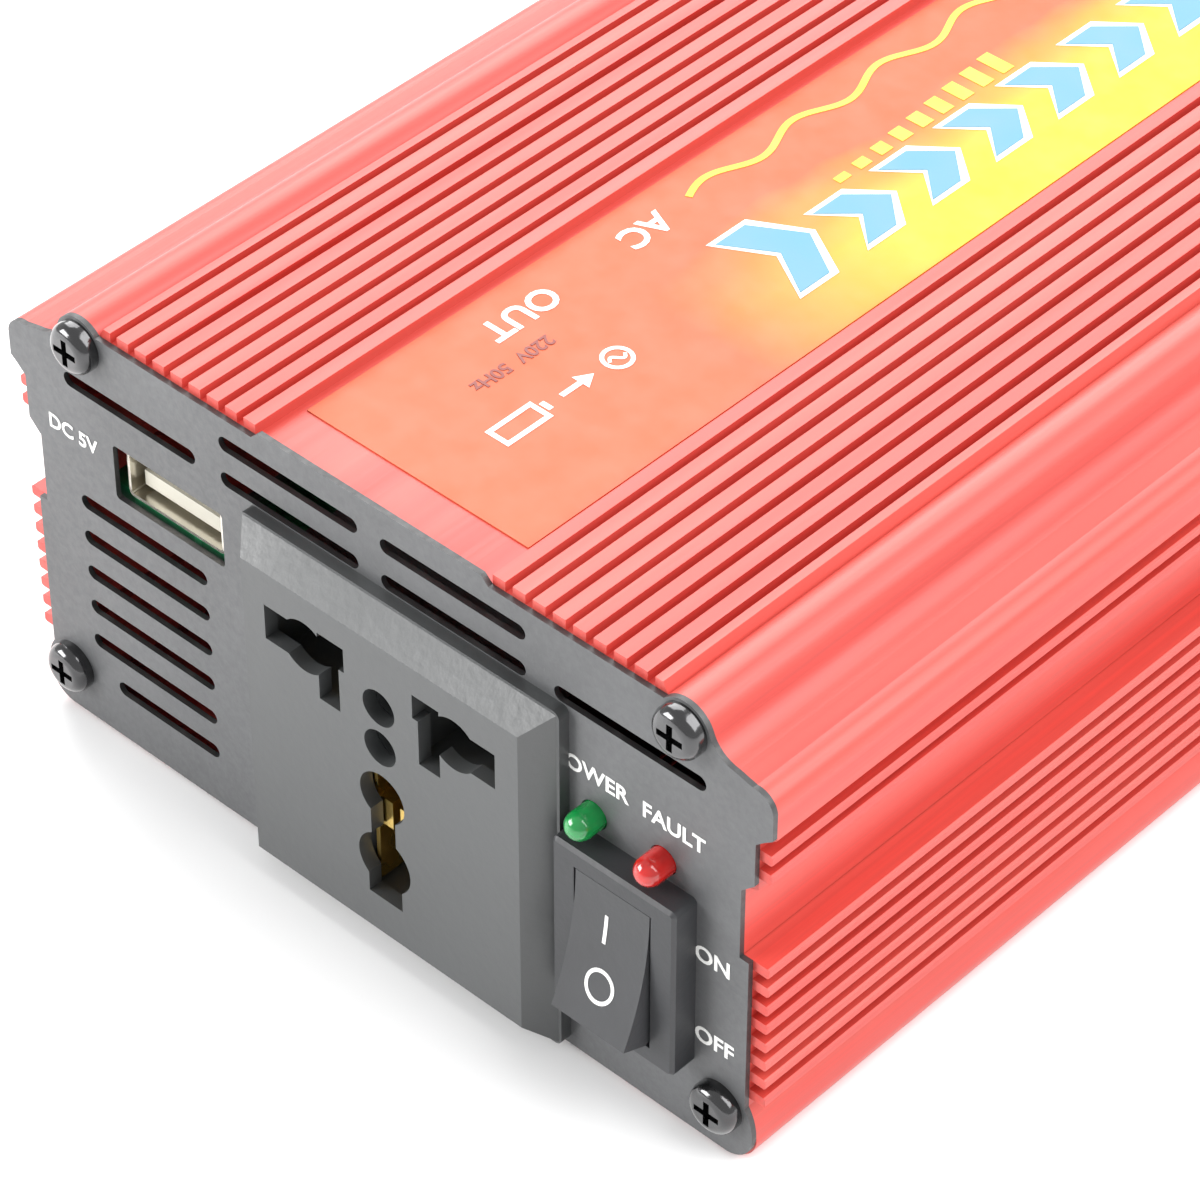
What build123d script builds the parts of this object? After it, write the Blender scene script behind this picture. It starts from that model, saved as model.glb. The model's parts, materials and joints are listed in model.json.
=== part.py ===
from build123d import *
import math
import os

# A portable 12 V to mains power inverter. Two finned aluminium extrusions, a lid and a lower
# shell, lap together and are closed by two screwed end panels. The front panel carries a
# universal outlet, a USB port, two indicators, a rocker switch and vents. The rear panel carries
# a fan behind a grille and two screw-down DC terminals. A board slides in grooves in the shell.
# Millimetres, +X right, +Y from front to rear, +Z up. The pieces are drawn with the front
# panel's outer face at y = 0 and the case standing on z = 0, and they are moved along Y when
# written, so that the origin is the bottom centre of the whole.

# ---- driving dimensions: case ----
CASE_LENGTH = 180.0
HALF_WIDTH = 48.8           # to the outside of the upper wings
CASE_HEIGHT = 53.0
PLATE_THICK = 0.6           # both end panels
RIB_DEPTH = 1.2             # of the grooves in the lid
RIB_PITCH = 2.43
GROOVE_WIDTH = 0.9
LABEL_HALF = 14.6           # middle of the label to the middle of the first groove
LID_THICK = 1.9             # lid metal under the grooves
PORT_OUTER = 3.1            # round wall of an upper screw port
LOW_PORT_OUTER = 2.9
PORT_HOLE = 1.3
LOW_PORT_Z = 6.1
FIN_THICK = 1.2
FIN_PITCH = 2.39
LOW_FIN_COUNT = 8
SEAM_Z = 26.5               # where the lid's skirt ends, and the top of the highest lower fin
WALL = 2.2                  # side walls, from the side channel inward
FLOOR_THICK = 2.0
LAP_HEIGHT = 4.3            # rise of the lower shell's tongue behind the lid's skirt
TONGUE_THICK = 1.15
PLATE_LOW_Z = 0.4
TAB_HEIGHT = 0.9            # raised middle of the end panels, in front of the label recess
LABEL_THICK = 0.15
LABEL_END = 5.6             # bare metal at both ends of the label
GAP = 0.1                   # clearance between neighbouring pieces that don't move

# ---- screws ----
SCREW_HEAD_R = 2.75
SCREW_HEAD_H = 1.9
SCREW_SHANK_R = 1.2
SCREW_LENGTH = 9.0
SCREW_HOLE_GAP = 0.25
RECESS_ARM = 1.5            # half length of the cross recess
RECESS_WIDTH = 0.7
RECESS_DEPTH = 1.1

# ---- front panel ----
SLOT_WIDTH = 1.7
SLOT_LENGTH = 18.1
SLOT_GAP = 2.9              # between the two middle slots
SLOT_ROW_DROP = 8.4         # from the top of the case to the row of four slots
SLOT_ROW_STEP = 4.3         # up to the row of two
OUTER_SLOT_X = 23.0
VENT_X0 = -40.1
VENT_X1 = -22.5
VENT_SHORT_X0 = -36.9       # the lowest vent ends beside a screw
VENT_TOP_Z = 29.8
VENT_PITCH = 4.52
VENT_COUNT = 6

# ---- outlet ----
OUTLET_X = 4.5
OUTLET_LOW_Z = 1.0
OUTLET_WIDTH = 40.6
OUTLET_HEIGHT = 42.6
OUTLET_FLANGE = 1.3
OUTLET_PROUD = 3.9
OUTLET_BEVEL = 2.3
OUTLET_STEP = 0.35          # from the flange's edge to the foot of the bevel
OUTLET_FACE = 1.6           # wall behind the front face
OUTLET_RIM = 2.5            # flange beyond the neck that passes through the panel
OUTLET_NECK = 2.0           # depth of the neck behind the panel
OUTLET_DEPTH = 19.0         # depth of the body behind the panel
OUTLET_WALL = 1.0
PIN_ROW_UP = 33.8           # centre line of the flat pins above the outlet's foot
FLAT_PIN_H = 4.2
FLAT_PIN_IN = 7.7           # flat pin openings, from the outlet's middle
FLAT_PIN_OUT = 14.8
BLADE_IN = 5.1              # upright blade openings, from the outlet's middle
BLADE_NOTCH = 0.7
BLADE_LOW = 5.3             # below the centre line of the flat pins
BLADE_HIGH = 2.9            # above it
ROUND_PIN_IN = 9.6
ROUND_PIN_R = 3.0
SMALL_HOLE_R = 2.05
SMALL_HOLES_UP = (32.2, 27.2)
EARTH_ROUND_UP = 20.8
EARTH_ROUND_R = 2.9
EARTH_LOW_UP = 12.3
EARTH_LOW_R = 3.4
EARTH_PIN_HALF = 2.2
EARTH_FOOT_UP = 7.3
EARTH_NECK_HALF = 1.6
EARTH_PINCH_HALF = 0.5      # the earth leaves come this near the middle between the two openings
EARTH_PINCH_H = 3.4
LEAF = 0.5                  # contact strip thickness
TAIL_HALF = 2.0             # half width of the contact tails
TAIL_THICK = 0.8
TAIL_LENGTH = 5.0

# ---- USB port ----
USB_X = -27.3
USB_Z = 36.4
USB_CUT_W = 15.0
USB_CUT_H = 6.6
USB_SHELL_W = 13.2
USB_SHELL_H = 5.7
USB_SHELL_L = 14.0
USB_WALL = 0.35
USB_RECESS = 0.9            # shell mouth behind the panel's outer face
USB_TONGUE_W = 11.1
USB_TONGUE_H = 1.8
USB_TONGUE_GAP = 0.75       # between the tongue and the shell's floor
USB_BOARD_W = 20.0
USB_BOARD_L = 33.0
USB_POST_R = 2.0

# ---- indicators ----
LED_R = 1.5
LED_PROUD = 3.3
LED_Z = 32.4
GREEN_LED_X = 27.8
RED_LED_X = 36.2
LED_FLANGE_R = 1.9
LED_HOLE_GAP = 0.08
LED_LEG_PITCH = 1.28

# ---- rocker switch ----
SWITCH_X = 32.8
SWITCH_Z = 19.8
BEZEL_W = 15.0
BEZEL_H = 21.0
BEZEL_PROUD = 3.0
SWITCH_BODY_W = 12.8
SWITCH_BODY_H = 18.9
SWITCH_DEPTH = 13.0         # behind the panel
SWITCH_FLOOR = 1.2
WINDOW_W = 9.4
WINDOW_H = 16.9
WINDOW_SIDE_GAP = 0.2       # rocker to window, on both sides
ROCKER_TIP = 7.7            # half length of the rocker's face
ROCKER_RISE = 3.7           # tips in front of the pivot
PIVOT_Y = -1.0
PIVOT_R = 1.0
PIVOT_GAP = 0.05
THROW = 12.5                # degrees each side of the middle
PLUNGER_R = 1.0
PLUNGER_REACH = 6.3         # pivot to the plunger's tip
BAR_THICK = 0.8
BAR_LENGTH = 10.0
BAR_TILT = 8.0              # degrees each side of the middle
BAR_GAP = 0.15              # plunger's tip to the bar, and the bar to its terminals

# ---- fan ----
FAN_SIZE = 40.0
FAN_DEPTH = 10.0
FAN_BORE = 19.2
FAN_HOLE_PITCH = 32.0
FAN_HOLE_R = 1.65
FAN_TIP_GAP = 0.8
HUB_R = 8.5
SHAFT_R = 1.0
SHAFT_GAP = 0.05
FAN_BLADES = 7
GRILLE_RINGS = (5.2, 8.7, 12.2, 15.7)
GRILLE_SLOT = 2.0
SPOKE_WIDTH = 2.6

# ---- DC terminals ----
TERMINAL_X = 34.0
STUD_R = 3.0
STUD_OUT = 14.6             # stud tip behind the rear panel
STUD_IN = 15.0
BUSH_R = 8.0
BUSH_THICK = 2.4
BUSH_NECK_R = 5.0
COLLAR_R = 5.8
COLLAR_THICK = 1.2
WASHER_R = 6.4
WASHER_THICK = 1.2
INNER_WASHER_THICK = 2.0
THREAD_GAP = 0.06
KNOB_R = 7.6
KNOB_LENGTH = 13.0
KNOB_FLUTES = 14
INSERT_R = 4.6
INSERT_LENGTH = 10.0
NUT_R = 5.6
NUT_THICK = 4.5
LUG_THICK = 1.0
LUG_R = 5.4
BARREL_R = 2.6
BARREL_DROP = 9.0           # stud to the lug's crimped barrel
LEAD_R = 1.9

# ---- electronics ----
BOARD_Z = 10.4
BOARD_THICK = 1.6
BOARD_GROOVE = 1.5          # depth of the grooves that hold the board
BOARD_SETBACK = 26.0        # front panel to the board
BOARD_END_ROOM = 15.0       # board to the rear panel

# ---- places that follow from the sizes above ----
CHANNEL_X = HALF_WIDTH - 3.4            # outer face of the side channel
ROOT_X = CHANNEL_X + 1.1                # roots of the lower fins
UPPER_ROOT_X = CHANNEL_X + 1.5          # roots of the two fins under the wing
FIN_TIP_X = HALF_WIDTH - 0.4
INNER_X = CHANNEL_X - WALL
CHANNEL_TOP_Z = CASE_HEIGHT - 18.1
WING_LOW_Z = CASE_HEIGHT - 10.5
WING_TOP_Z = CASE_HEIGHT - 4.5
PLATE_TOP_Z = CASE_HEIGHT - 1.1
GROOVE_Z = CASE_HEIGHT - RIB_DEPTH
CEILING_Z = GROOVE_Z - LID_THICK
TOP_PORT_X = HALF_WIDTH - 10.4
TOP_PORT_Z = CASE_HEIGHT - PORT_OUTER
LOW_PORT_X = HALF_WIDTH - 5.3
RIBBED_END_X = TOP_PORT_X - 3.0         # where the ribs give way to the screw port's bump
GROOVE_COUNT = int((RIBBED_END_X - GROOVE_WIDTH - LABEL_HALF) / RIB_PITCH) + 1
LABEL_EDGE_X = LABEL_HALF - GROOVE_WIDTH / 2
REAR_Y = PLATE_THICK + CASE_LENGTH      # inner face of the rear panel
BACK_Y = REAR_Y + PLATE_THICK           # outer face of the rear panel
FAN_Z = CASE_HEIGHT / 2
FAN_Y = REAR_Y - FAN_DEPTH
TERMINAL_Z = FAN_Z
BOARD_TOP = BOARD_Z + BOARD_THICK
BOARD_FRONT = PLATE_THICK + BOARD_SETBACK
BOARD_REAR = REAR_Y - BOARD_END_ROOM
OUTLET_MID_Z = OUTLET_LOW_Z + OUTLET_HEIGHT / 2
OUTLET_NECK_HALF = OUTLET_WIDTH / 2 - OUTLET_RIM
PIN_ROW_Z = OUTLET_LOW_Z + PIN_ROW_UP
OUTLET_BACK_Y = PLATE_THICK + OUTLET_DEPTH
TAIL_END_Y = OUTLET_BACK_Y + TAIL_LENGTH
SWITCH_BACK_Y = PLATE_THICK + SWITCH_DEPTH

NODES = {}


# ---- helpers ----
def panel(face, y0, y1):
    """A face drawn in (x, z), extruded from depth y0 to depth y1."""
    return Pos(0, y1, 0) * Rot(90, 0, 0) * extrude(face, amount=y1 - y0)


def symmetric_face(start, steps):
    """A face from its right half: each step is a line to (x, z), or an arc through (x, z) to (x, z)."""
    edges = []
    here = start
    for step in steps:
        end = step[-2:]
        edges.append(ThreePointArc(here, step[:2], end) if len(step) == 4 else Line(here, end))
        here = end
    face = make_face([*edges, *[mirror(edge, about=Plane.YZ) for edge in edges]]).face()
    return face if face.normal_at().Z > 0 else -face


def backwards(start, steps):
    """The same run of steps, walked from its end to its start."""
    ends = [start] + [step[-2:] for step in steps]
    return ends[-1], [(*step[:2], *ends[i]) if len(step) == 4 else ends[i]
                      for i, step in reversed(list(enumerate(steps)))]


def block(x0, x1, y0, y1, z0, z1):
    return Pos((x0 + x1) / 2, (y0 + y1) / 2, (z0 + z1) / 2) * Box(abs(x1 - x0), abs(y1 - y0), abs(z1 - z0))


def rod(x, z, radius, y0, y1):
    """A cylinder along Y."""
    return Pos(x, (y0 + y1) / 2, z) * Rot(90, 0, 0) * Cylinder(radius, y1 - y0)


def post(x, y, radius, z0, z1):
    """A cylinder along Z."""
    return Pos(x, y, (z0 + z1) / 2) * Cylinder(radius, z1 - z0)


def slot_face(x0, x1, z):
    return Pos((x0 + x1) / 2, z) * SlotOverall(x1 - x0, SLOT_WIDTH)


def rect_face(x0, x1, z0, z1):
    return Pos((x0 + x1) / 2, (z0 + z1) / 2) * Rectangle(abs(x1 - x0), z1 - z0)


def disc_face(x, z, radius):
    return Pos(x, z) * Circle(radius)


def hex_nut(x, z, radius, hole, y0, y1):
    return Pos(x, y1, z) * Rot(90, 0, 0) * extrude(RegularPolygon(radius, 6) - Circle(hole), amount=y1 - y0)


def wire(points, radius):
    """A wire along straight runs, joined by arcs as large as the runs allow."""
    radii = []
    for before, corner, after in zip(points, points[1:], points[2:]):
        run_in = Vector(*corner) - Vector(*before)
        run_out = Vector(*after) - Vector(*corner)
        half_turn = math.radians(run_in.get_angle(run_out)) / 2
        radii.append(0.45 * min(run_in.length, run_out.length) / math.tan(half_turn))
    path = FilletPolyline(*points, radius=radii)
    return sweep(Plane(path @ 0, z_dir=path % 0) * Circle(radius), path=path)


def add(name, *pieces):
    """Keeps the pieces as one node."""
    solids = [solid for piece in pieces for solid in piece.solids()]
    NODES[name] = Compound(solids) if len(solids) > 1 else solids[0]


# ---- case ----
def on_port(degrees):
    """A point on an upper screw port's round wall, measured clockwise from its top."""
    turn = math.radians(degrees)
    return TOP_PORT_X + PORT_OUTER * math.sin(turn), TOP_PORT_Z + PORT_OUTER * math.cos(turn)


def shoulder():
    """From a screw port's bump, through the cove, to the wing's outer edge."""
    start = on_port(-50)
    return start, [
        (*on_port(10), *on_port(72)),
        (HALF_WIDTH - 6.3, WING_TOP_Z + 0.75, HALF_WIDTH - 4.4, WING_TOP_Z),
        (HALF_WIDTH - 2.4, WING_TOP_Z - 0.5),
        (HALF_WIDTH - 0.55, WING_TOP_Z - 1.2, HALF_WIDTH, WING_TOP_Z - 2.8),
    ]


def lower_corner(x_in, low):
    """The rounded lower corner, from the underside up to the lowest fin's root."""
    return [
        (LOW_PORT_X + 1.0, low),
        (HALF_WIDTH - 2.4, low + 0.9, HALF_WIDTH - 1.3, 4.0),
        (HALF_WIDTH - 1.6, 6.0, x_in, 7.5),
    ]


def screw_places():
    ports = ((TOP_PORT_X, TOP_PORT_Z), (LOW_PORT_X, LOW_PORT_Z))
    return [(side * x, z) for side in (-1, 1) for x, z in ports]


def lid_ribs():
    """The ribbed top of the lid, from the screw port's bump to the label recess."""
    steps = [(RIBBED_END_X, CASE_HEIGHT)]
    half = GROOVE_WIDTH / 2
    for i in reversed(range(GROOVE_COUNT)):
        x = LABEL_HALF + i * RIB_PITCH
        steps += [(x + half, CASE_HEIGHT), (x + half, GROOVE_Z)]
        if i:
            steps += [(x - half, GROOVE_Z), (x - half, CASE_HEIGHT)]
    return steps + [(0, GROOVE_Z)]


def fin(root, top):
    """One side fin, from its underside round its tip to its top."""
    edge = 0.2
    low = top - FIN_THICK
    return [(root, low), (FIN_TIP_X - edge, low), (FIN_TIP_X, low + edge), (FIN_TIP_X, top - edge),
            (FIN_TIP_X - edge, top), (root, top)]


def make_top_cover():
    lap_top = SEAM_Z + LAP_HEIGHT + GAP
    skirt_low = SEAM_Z + GAP
    skirt_x = INNER_X + TONGUE_THICK + GAP
    inner = [(TOP_PORT_X - PORT_OUTER - 1, CEILING_Z), (INNER_X, WING_TOP_Z - LID_THICK - 1), (INNER_X, lap_top),
             (skirt_x, lap_top), (skirt_x, skirt_low)]
    outer = [(CHANNEL_X, skirt_low), (CHANNEL_X, CHANNEL_TOP_Z), (UPPER_ROOT_X, CHANNEL_TOP_Z + 0.6)]
    for top in (WING_LOW_Z - 4.3, WING_LOW_Z - 2.0):
        outer += fin(UPPER_ROOT_X, top)
    wing_end, wing_steps = backwards(*shoulder())
    outer += [(UPPER_ROOT_X, WING_LOW_Z), (HALF_WIDTH - 0.3, WING_LOW_Z), (HALF_WIDTH, WING_LOW_Z + 0.3), wing_end]
    face = symmetric_face((0, CEILING_Z), inner + outer + wing_steps + lid_ribs())
    for side in (-1, 1):
        face += disc_face(side * TOP_PORT_X, TOP_PORT_Z, PORT_OUTER)
    for side in (-1, 1):
        face -= disc_face(side * TOP_PORT_X, TOP_PORT_Z, PORT_HOLE)
    add("top_cover", panel(face, PLATE_THICK, REAR_Y))


def make_bottom_shell():
    groove_x = INNER_X + BOARD_GROOVE
    tongue_x = INNER_X + TONGUE_THICK
    tongue_top = SEAM_Z + LAP_HEIGHT
    recess = 0.4
    outer = [(12, 0), (12 + recess, recess), (30, recess), (30 + recess, 0)] + lower_corner(ROOT_X, 0)
    for i in reversed(range(LOW_FIN_COUNT)):
        outer += fin(ROOT_X, SEAM_Z - i * FIN_PITCH)
    inner = [(INNER_X, BOARD_TOP + GAP), (groove_x, BOARD_TOP + GAP), (groove_x, BOARD_Z - GAP),
             (INNER_X, BOARD_Z - GAP), (INNER_X, FLOOR_THICK), (0, FLOOR_THICK)]
    face = symmetric_face((0, 0), outer + [(tongue_x, SEAM_Z), (tongue_x, tongue_top), (INNER_X, tongue_top)] + inner)
    for side in (-1, 1):
        face += disc_face(side * LOW_PORT_X, LOW_PORT_Z, LOW_PORT_OUTER)
    for side in (-1, 1):
        face -= disc_face(side * LOW_PORT_X, LOW_PORT_Z, PORT_HOLE)
    add("bottom_shell", panel(face, PLATE_THICK, REAR_Y))


def end_panel_face():
    """The end panels' shared outline, with the holes for the case screws."""
    wing_end, wing_steps = backwards(*shoulder())
    steps = lower_corner(ROOT_X, PLATE_LOW_Z) + [
        (ROOT_X, SEAM_Z), (CHANNEL_X, SEAM_Z), (CHANNEL_X, CHANNEL_TOP_Z), (UPPER_ROOT_X, CHANNEL_TOP_Z + 1.5),
        (UPPER_ROOT_X, WING_LOW_Z - 1.0), (HALF_WIDTH - 0.8, WING_LOW_Z), (HALF_WIDTH, WING_LOW_Z + 0.6), wing_end,
    ] + wing_steps + [
        (TOP_PORT_X - 3.4, PLATE_TOP_Z), (LABEL_EDGE_X + TAB_HEIGHT, PLATE_TOP_Z),
        (LABEL_EDGE_X, PLATE_TOP_Z + TAB_HEIGHT), (0, PLATE_TOP_Z + TAB_HEIGHT),
    ]
    face = symmetric_face((0, PLATE_LOW_Z), steps)
    for x, z in screw_places():
        face -= disc_face(x, z, SCREW_SHANK_R + SCREW_HOLE_GAP)
    return face


def pan_screw(x, z, face_y, way, length=SCREW_LENGTH, shank=SCREW_SHANK_R):
    """A cross-recess pan screw with its head on face_y; way is +1 if the head points to the rear."""
    head = Pos(0, SCREW_HEAD_H / 2, 0) * Rot(90, 0, 0) * Cylinder(SCREW_HEAD_R, SCREW_HEAD_H)
    head = fillet(head.edges().sort_by(Axis.Y)[-1], 0.65 * SCREW_HEAD_H)
    shaft = Pos(0, -length / 2, 0) * Rot(90, 0, 0) * Cylinder(shank, length)
    middle = Pos(0, SCREW_HEAD_H - RECESS_DEPTH / 2, 0)
    across = middle * Box(2 * RECESS_ARM, RECESS_DEPTH, RECESS_WIDTH)
    upright = middle * Box(RECESS_WIDTH, RECESS_DEPTH, 2 * RECESS_ARM)
    turn = 0 if way > 0 else 180
    return Pos(x, face_y, z) * Rot(0, 0, turn) * (head + shaft - across - upright)


def make_front_plate():
    row_z = CASE_HEIGHT - SLOT_ROW_DROP
    middle = SLOT_GAP / 2
    face = end_panel_face()
    for start, z in ((middle, row_z), (middle, row_z + SLOT_ROW_STEP), (OUTER_SLOT_X, row_z)):
        face -= slot_face(start, start + SLOT_LENGTH, z) + slot_face(-start - SLOT_LENGTH, -start, z)
    for i in range(VENT_COUNT):
        left = VENT_SHORT_X0 if i == VENT_COUNT - 1 else VENT_X0
        face -= slot_face(left, VENT_X1, VENT_TOP_Z - i * VENT_PITCH)
    face -= Pos(USB_X, USB_Z) * RectangleRounded(USB_CUT_W, USB_CUT_H, 0.5)
    face -= Pos(OUTLET_X, OUTLET_MID_Z) * outlet_neck_face(GAP)
    face -= Pos(SWITCH_X, SWITCH_Z) * Rectangle(SWITCH_BODY_W + 2 * GAP, SWITCH_BODY_H + 2 * GAP)
    for x in (GREEN_LED_X, RED_LED_X):
        face -= disc_face(x, LED_Z, LED_R + LED_HOLE_GAP)
    add("front_plate", panel(face, 0, PLATE_THICK))
    add("front_plate_screws", *[pan_screw(x, z, 0, -1) for x, z in screw_places()])


def fan_hole_places():
    half = FAN_HOLE_PITCH / 2
    return [(side * half, FAN_Z + rise * half) for side in (-1, 1) for rise in (-1, 1)]


def grille_face():
    """Rings of slots in front of the fan, cut by four spokes."""
    rings = [Circle(radius + GRILLE_SLOT / 2) - Circle(radius - GRILLE_SLOT / 2) for radius in GRILLE_RINGS]
    face = rings[0]
    for ring in rings[1:]:
        face += ring
    for angle in (45, 135):
        face -= Rot(0, 0, angle) * Rectangle(2 * FAN_BORE, SPOKE_WIDTH)
    return Pos(0, FAN_Z) * face


def make_rear_plate():
    face = end_panel_face() - grille_face()
    for x, z in fan_hole_places():
        face -= disc_face(x, z, FAN_HOLE_R)
    for side in (-1, 1):
        face -= disc_face(side * TERMINAL_X, TERMINAL_Z, BUSH_NECK_R + GAP)
    add("rear_plate", panel(face, REAR_Y, BACK_Y))
    add("rear_plate_screws", *[pan_screw(x, z, BACK_Y, 1) for x, z in screw_places()])


def make_label():
    half = LABEL_EDGE_X - GAP
    add("top_label", block(-half, half, PLATE_THICK + LABEL_END, REAR_Y - LABEL_END,
                           GROOVE_Z, GROOVE_Z + LABEL_THICK))


# ---- outlet ----
def outlet_neck_face(grow):
    """The part of the outlet that passes through the panel, grown by a clearance."""
    half_height = OUTLET_HEIGHT / 2 - OUTLET_RIM
    return Rectangle(2 * (OUTLET_NECK_HALF + grow), 2 * (half_height + grow))


def earth_opening():
    low = OUTLET_LOW_Z + EARTH_LOW_UP
    high = OUTLET_LOW_Z + EARTH_ROUND_UP
    face = disc_face(OUTLET_X, high, EARTH_ROUND_R) + disc_face(OUTLET_X, low, EARTH_LOW_R)
    face += rect_face(OUTLET_X - EARTH_PIN_HALF, OUTLET_X + EARTH_PIN_HALF, OUTLET_LOW_Z + EARTH_FOOT_UP, low)
    return face + rect_face(OUTLET_X - EARTH_NECK_HALF, OUTLET_X + EARTH_NECK_HALF, low, high)


def pin_openings():
    """All pin openings of the outlet, as one face."""
    face = earth_opening()
    for side in (-1, 1):
        blade_in, blade_out = OUTLET_X + side * BLADE_IN, OUTLET_X + side * (FLAT_PIN_IN + GAP)
        face += rect_face(blade_in, blade_out, PIN_ROW_Z - BLADE_LOW, PIN_ROW_Z + BLADE_HIGH)
        face += rect_face(blade_in - side * BLADE_NOTCH, blade_out, PIN_ROW_Z, PIN_ROW_Z + BLADE_HIGH)
        face += rect_face(OUTLET_X + side * FLAT_PIN_IN, OUTLET_X + side * FLAT_PIN_OUT,
                          PIN_ROW_Z - FLAT_PIN_H / 2, PIN_ROW_Z + FLAT_PIN_H / 2)
        face += disc_face(OUTLET_X + side * ROUND_PIN_IN, PIN_ROW_Z, ROUND_PIN_R)
    for up in SMALL_HOLES_UP:
        face += disc_face(OUTLET_X, OUTLET_LOW_Z + up, SMALL_HOLE_R)
    return face


def make_outlet_cover():
    place = Pos(OUTLET_X, OUTLET_MID_Z)
    foot_w, foot_h = OUTLET_WIDTH - 2 * OUTLET_STEP, OUTLET_HEIGHT - 2 * OUTLET_STEP
    foot = Plane.XZ.offset(OUTLET_FLANGE) * place * Rectangle(foot_w, foot_h)
    front = Plane.XZ.offset(OUTLET_PROUD) * place * Rectangle(foot_w - 2 * OUTLET_BEVEL, foot_h - 2 * OUTLET_BEVEL)
    cover = panel(place * RectangleRounded(OUTLET_WIDTH, OUTLET_HEIGHT, 0.8), -OUTLET_FLANGE, 0)
    cover += loft([foot, front])
    cover += panel(place * outlet_neck_face(0), 0, PLATE_THICK + OUTLET_NECK)
    cover -= panel(place * outlet_neck_face(-OUTLET_WALL), OUTLET_FACE - OUTLET_PROUD, PLATE_THICK + OUTLET_NECK)
    cover -= panel(pin_openings(), -OUTLET_PROUD - 1, 0)
    add("outlet_cover", cover)


def make_outlet_body():
    """The moulded block behind the cover, with a chamber for each contact."""
    y0 = OUTLET_FACE - OUTLET_PROUD + GAP
    floor_y = OUTLET_BACK_Y - 1.5
    earth_low = OUTLET_LOW_Z + EARTH_FOOT_UP - 0.4
    earth_high = OUTLET_LOW_Z + EARTH_ROUND_UP + EARTH_ROUND_R + 0.3
    tail_half = TAIL_THICK / 2 + GAP
    body = panel(Pos(OUTLET_X, OUTLET_MID_Z) * outlet_neck_face(-OUTLET_WALL - GAP), y0, OUTLET_BACK_Y)
    for side in (-1, 1):
        inner, outer = OUTLET_X + side * (BLADE_IN - 1.0), OUTLET_X + side * (FLAT_PIN_OUT + 0.6)
        body -= block(inner, outer, y0 - 1, floor_y, PIN_ROW_Z - BLADE_LOW - 0.3, PIN_ROW_Z + BLADE_HIGH + 0.5)
        body -= block(OUTLET_X + side * 10 - TAIL_HALF - GAP, OUTLET_X + side * 10 + TAIL_HALF + GAP,
                      floor_y - 1, OUTLET_BACK_Y + 1, PIN_ROW_Z - tail_half, PIN_ROW_Z + tail_half)
    body -= block(OUTLET_X - EARTH_LOW_R - GAP, OUTLET_X + EARTH_LOW_R + GAP, y0 - 1, floor_y, earth_low, earth_high)
    body -= block(OUTLET_X - TAIL_HALF - GAP, OUTLET_X + TAIL_HALF + GAP, floor_y - 1, OUTLET_BACK_Y + 1,
                  earth_mid_z() - tail_half, earth_mid_z() + tail_half)
    for up in SMALL_HOLES_UP:
        body -= rod(OUTLET_X, OUTLET_LOW_Z + up, SMALL_HOLE_R, y0 - 1, OUTLET_BACK_Y - 4)
    add("outlet_body", body)


def earth_mid_z():
    """Height of the earth contact's tail and of its pinched front, between the two earth openings."""
    return OUTLET_LOW_Z + (EARTH_LOW_UP + EARTH_LOW_R + EARTH_ROUND_UP - EARTH_ROUND_R) / 2


def make_outlet_contacts():
    back = OUTLET_BACK_Y - 1.5
    low, high = PIN_ROW_Z - FLAT_PIN_H / 2 - GAP, PIN_ROW_Z + FLAT_PIN_H / 2 + GAP
    for name, side in (("outlet_live_contact", -1), ("outlet_neutral_contact", 1)):
        inner, outer = OUTLET_X + side * (BLADE_IN + 0.2), OUTLET_X + side * (FLAT_PIN_OUT + 0.2)
        tail_x = OUTLET_X + side * 10
        contact = block(inner, outer, 1.5, back, high, high + LEAF) + block(inner, outer, 1.5, back, low - LEAF, low)
        contact += block(inner, outer, back - LEAF, back, low - LEAF, high + LEAF)
        contact += block(tail_x - TAIL_HALF, tail_x + TAIL_HALF, back - LEAF, TAIL_END_Y,
                         PIN_ROW_Z - TAIL_THICK / 2, PIN_ROW_Z + TAIL_THICK / 2)
        add(name, contact)
    inner = EARTH_PIN_HALF + 0.15
    low, high = OUTLET_LOW_Z + EARTH_FOOT_UP + 0.2, OUTLET_LOW_Z + EARTH_ROUND_UP + 2.6
    front = OUTLET_FACE - OUTLET_PROUD + 2 * GAP
    contact = block(OUTLET_X - inner - LEAF, OUTLET_X + inner + LEAF, back - LEAF, back, low, high)
    for side in (-1, 1):
        contact += block(OUTLET_X + side * inner, OUTLET_X + side * (inner + LEAF), front, back, low, high)
        contact += block(OUTLET_X + side * EARTH_PINCH_HALF, OUTLET_X + side * inner, front, front + 1.8,
                         earth_mid_z() - EARTH_PINCH_H / 2, earth_mid_z() + EARTH_PINCH_H / 2)
    contact += block(OUTLET_X - TAIL_HALF, OUTLET_X + TAIL_HALF, back - LEAF, TAIL_END_Y,
                     earth_mid_z() - TAIL_THICK / 2, earth_mid_z() + TAIL_THICK / 2)
    add("outlet_earth_contact", contact)


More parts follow.
